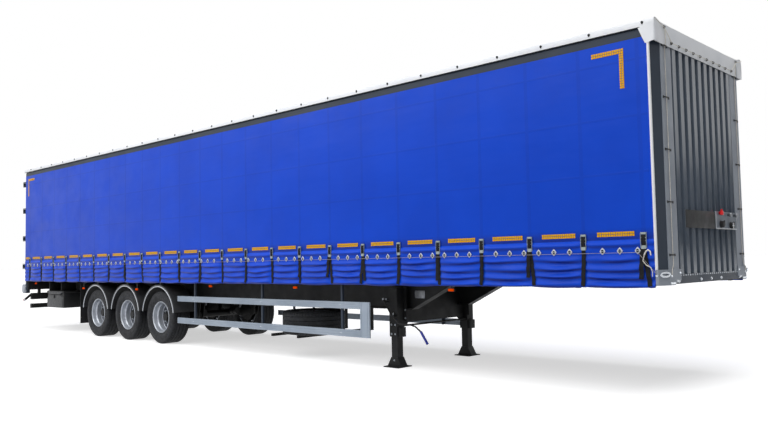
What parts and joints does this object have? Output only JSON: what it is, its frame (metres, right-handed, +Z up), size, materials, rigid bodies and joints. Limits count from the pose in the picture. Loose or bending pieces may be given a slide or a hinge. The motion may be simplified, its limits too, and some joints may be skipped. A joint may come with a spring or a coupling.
{
  "type": "curtain-side semi trailer",
  "caption": "Long three-axle semi trailer with side curtains, buckled straps, a ribbed front wall, a tarpaulin roof, rear doors and landing legs, standing unhitched",
  "frame": {"origin": "on the ground, under the middle of the whole trailer", "axes": "+X forward to the kingpin end, +Y to the left side, +Z up"},
  "size_m": [16.7, 2.592, 4],
  "materials": {
    "tyre_rubber": "satin moulded rubber",
    "wheel_steel": "silver painted steel",
    "chassis_black": "satin black paint",
    "frame_grey": "satin dark grey paint",
    "door_panel": "satin dark grey paint",
    "galvanised": "galvanised",
    "aluminium_profile": "extruded, plain",
    "curtain_blue": "coated tarpaulin, semi-gloss",
    "strap_black": "woven webbing",
    "roof_white": "coated tarpaulin, matt",
    "floor_ply": "film-faced plywood",
    "panel_grey": "satin grey paint",
    "coupling_metal": "cast and machined",
    "lamp_orange": "clear moulded lens",
    "lamp_red": "clear moulded lens",
    "black_plastic": "moulded, grained",
    "black_rubber": "matt moulded rubber",
    "buffer_grey": "pale moulded rubber"
  },
  "bodies": {
    "root": {"air_springs": "black_rubber", "air_tanks": "chassis_black", "axles": "chassis_black", "brake_chambers": "chassis_black", "cant_rails": "frame_grey", "corner_plates": "aluminium_profile", "coupler_plate": "chassis_black", "cross_members": "chassis_black", "curtain_left": "curtain_blue", "curtain_right": "curtain_blue", "curtain_straps": "strap_black", "floor": "floor_ply", "front_frame": "frame_grey", "front_strips": "aluminium_profile", "front_wall": "frame_grey", "guard_uprights": "chassis_black", "hangers": "chassis_black", "kingpin": "coupling_metal", "landing_crank": "chassis_black", "landing_feet": "chassis_black", "landing_legs": "chassis_black", "main_beams": "chassis_black", "mudflaps": "black_rubber", "mudguards": "black_plastic", "neck_beams": "chassis_black", "rear_apron": "chassis_black", "rear_buffers": "buffer_grey", "rear_bumper": "chassis_black", "rear_frame": "frame_grey", "rear_lamps": "lamp_red", "roof_bows": "galvanised", "roof_cover": "roof_white", "service_couplings": "coupling_metal", "service_panel": "panel_grey", "side_guards": "aluminium_profile", "side_lamps": "lamp_orange", "side_posts": "frame_grey", "side_rails": "chassis_black", "spare_carrier": "chassis_black", "spare_rim": "wheel_steel", "spare_tyre": "tyre_rubber", "tool_box": "black_plastic"},
    "wheel_left_1": {"tyre_left_1": "tyre_rubber", "rim_left_1": "wheel_steel"},
    "wheel_left_2": {"tyre_left_2": "tyre_rubber", "rim_left_2": "wheel_steel"},
    "wheel_left_3": {"tyre_left_3": "tyre_rubber", "rim_left_3": "wheel_steel"},
    "wheel_right_1": {"tyre_right_1": "tyre_rubber", "rim_right_1": "wheel_steel"},
    "wheel_right_2": {"tyre_right_2": "tyre_rubber", "rim_right_2": "wheel_steel"},
    "wheel_right_3": {"tyre_right_3": "tyre_rubber", "rim_right_3": "wheel_steel"},
    "left_door": {"door_left": "door_panel", "door_left_bars": "galvanised"},
    "right_door": {"door_right": "door_panel", "door_right_bars": "galvanised"}
  },
  "joints": [
    {"name": "wheel_left_1_turn", "type": "hinge", "parent": "root", "child": "wheel_left_1", "pos_m": [-1.765, 1.02, 0.512], "axis": [0, 1, 0], "continuous": true},
    {"name": "wheel_left_2_turn", "type": "hinge", "parent": "root", "child": "wheel_left_2", "pos_m": [-3.075, 1.02, 0.512], "axis": [0, 1, 0], "continuous": true},
    {"name": "wheel_left_3_turn", "type": "hinge", "parent": "root", "child": "wheel_left_3", "pos_m": [-4.385, 1.02, 0.512], "axis": [0, 1, 0], "continuous": true},
    {"name": "wheel_right_1_turn", "type": "hinge", "parent": "root", "child": "wheel_right_1", "pos_m": [-1.765, -1.02, 0.512], "axis": [0, 1, 0], "continuous": true},
    {"name": "wheel_right_2_turn", "type": "hinge", "parent": "root", "child": "wheel_right_2", "pos_m": [-3.075, -1.02, 0.512], "axis": [0, 1, 0], "continuous": true},
    {"name": "wheel_right_3_turn", "type": "hinge", "parent": "root", "child": "wheel_right_3", "pos_m": [-4.385, -1.02, 0.512], "axis": [0, 1, 0], "continuous": true},
    {"name": "left_door_hinge", "type": "hinge", "parent": "root", "child": "left_door", "pos_m": [-8.292, 1.28, 2.565], "axis": [0, 0, -1], "range_deg": [0, 270]},
    {"name": "right_door_hinge", "type": "hinge", "parent": "root", "child": "right_door", "pos_m": [-8.292, -1.28, 2.565], "axis": [0, 0, 1], "range_deg": [0, 270]}
  ]
}
